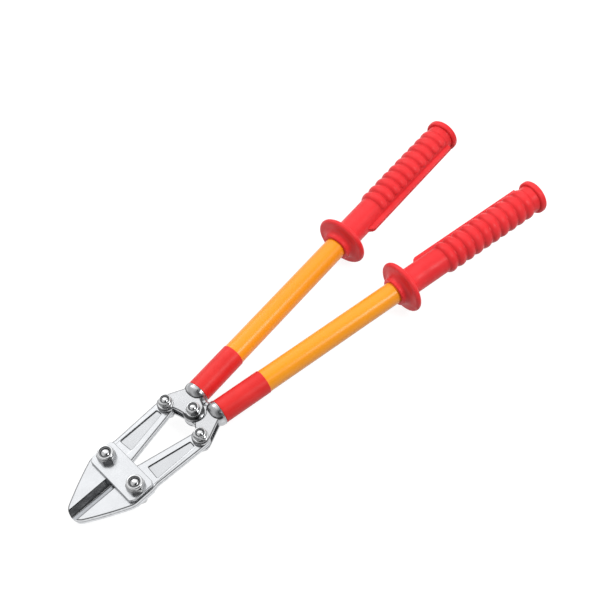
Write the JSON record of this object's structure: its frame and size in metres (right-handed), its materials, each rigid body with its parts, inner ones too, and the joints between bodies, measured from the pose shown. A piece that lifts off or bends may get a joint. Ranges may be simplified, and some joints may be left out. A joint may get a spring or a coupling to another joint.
{
  "type": "bolt cutters",
  "caption": "Insulated bolt cutters with toggle-linked steel jaws, orange tubular handles and red moulded grips with round hand guards.",
  "frame": {"origin": "centre of the closed tool's bounding box, on the middle plane of the jaws", "axes": "+X along the tool from the grips to the jaw tips, +Y to the left handle, +Z along the pivot bolts, nuts up"},
  "size_m": [0.6172, 0.1762, 0.0606],
  "materials": {
    "bright_steel": "bright nickel plated, lightly polished",
    "forged_steel": "forged and nickel plated, satin",
    "plated_steel": "bright plated fasteners",
    "dark_nylon": "dark nylon locking ring",
    "orange_tube": "smooth satin gloss insulating tube",
    "red_sleeve": "smooth shrunk insulating sleeve",
    "red_rubber": "moulded soft vinyl with a low sheen"
  },
  "bodies": {
    "head_links": {"top_link_plate": "bright_steel", "bottom_link_plate": "bright_steel", "left_jaw_bolt": "plated_steel", "left_jaw_nut": "plated_steel", "left_jaw_nut_insert": "dark_nylon", "right_jaw_bolt": "plated_steel", "right_jaw_nut": "plated_steel", "right_jaw_nut_insert": "dark_nylon"},
    "left_jaw": {"left_jaw": "bright_steel"},
    "right_jaw": {"right_jaw": "bright_steel"},
    "left_handle": {"left_fork": "forged_steel", "left_fork_bolt": "plated_steel", "left_fork_washer": "plated_steel", "left_fork_nut": "plated_steel", "left_fork_nut_insert": "dark_nylon", "left_handle_tube": "orange_tube", "left_tang_pin": "plated_steel", "left_sleeve": "red_sleeve", "left_grip": "red_rubber"},
    "right_handle": {"right_fork": "forged_steel", "right_fork_bolt": "plated_steel", "right_fork_washer": "plated_steel", "right_fork_nut": "plated_steel", "right_fork_nut_insert": "dark_nylon", "right_handle_tube": "orange_tube", "right_tang_pin": "plated_steel", "right_sleeve": "red_sleeve", "right_grip": "red_rubber", "centre_bolt": "plated_steel", "centre_washer": "plated_steel", "centre_nut": "plated_steel", "centre_nut_insert": "dark_nylon"}
  },
  "joints": [
    {"name": "left_jaw_pivot", "type": "hinge", "parent": "head_links", "child": "left_jaw", "pos_m": [0.24501, 0.02255, 0], "axis": [0, 0, 1], "range_deg": [0, 10]},
    {"name": "right_jaw_pivot", "type": "hinge", "parent": "head_links", "child": "right_jaw", "pos_m": [0.24501, -0.02255, 0], "axis": [0, 0, 1], "range_deg": [-10, 0]},
    {"name": "left_handle_fold", "type": "hinge", "parent": "left_jaw", "child": "left_handle", "pos_m": [0.1649, 0.02685, 0], "axis": [0, 0, 1], "range_deg": [-48.5, 0]},
    {"name": "right_handle_fold", "type": "hinge", "parent": "right_jaw", "child": "right_handle", "pos_m": [0.1649, -0.02685, 0], "axis": [0, 0, 1], "range_deg": [0, 48.5]}
  ],
  "couplings": [
    {"joint": "right_handle_fold", "follows": "left_handle_fold", "ratio": -1},
    {"joint": "left_jaw_pivot", "follows": "left_handle_fold", "ratio": -0.205},
    {"joint": "right_jaw_pivot", "follows": "left_handle_fold", "ratio": 0.205}
  ]
}
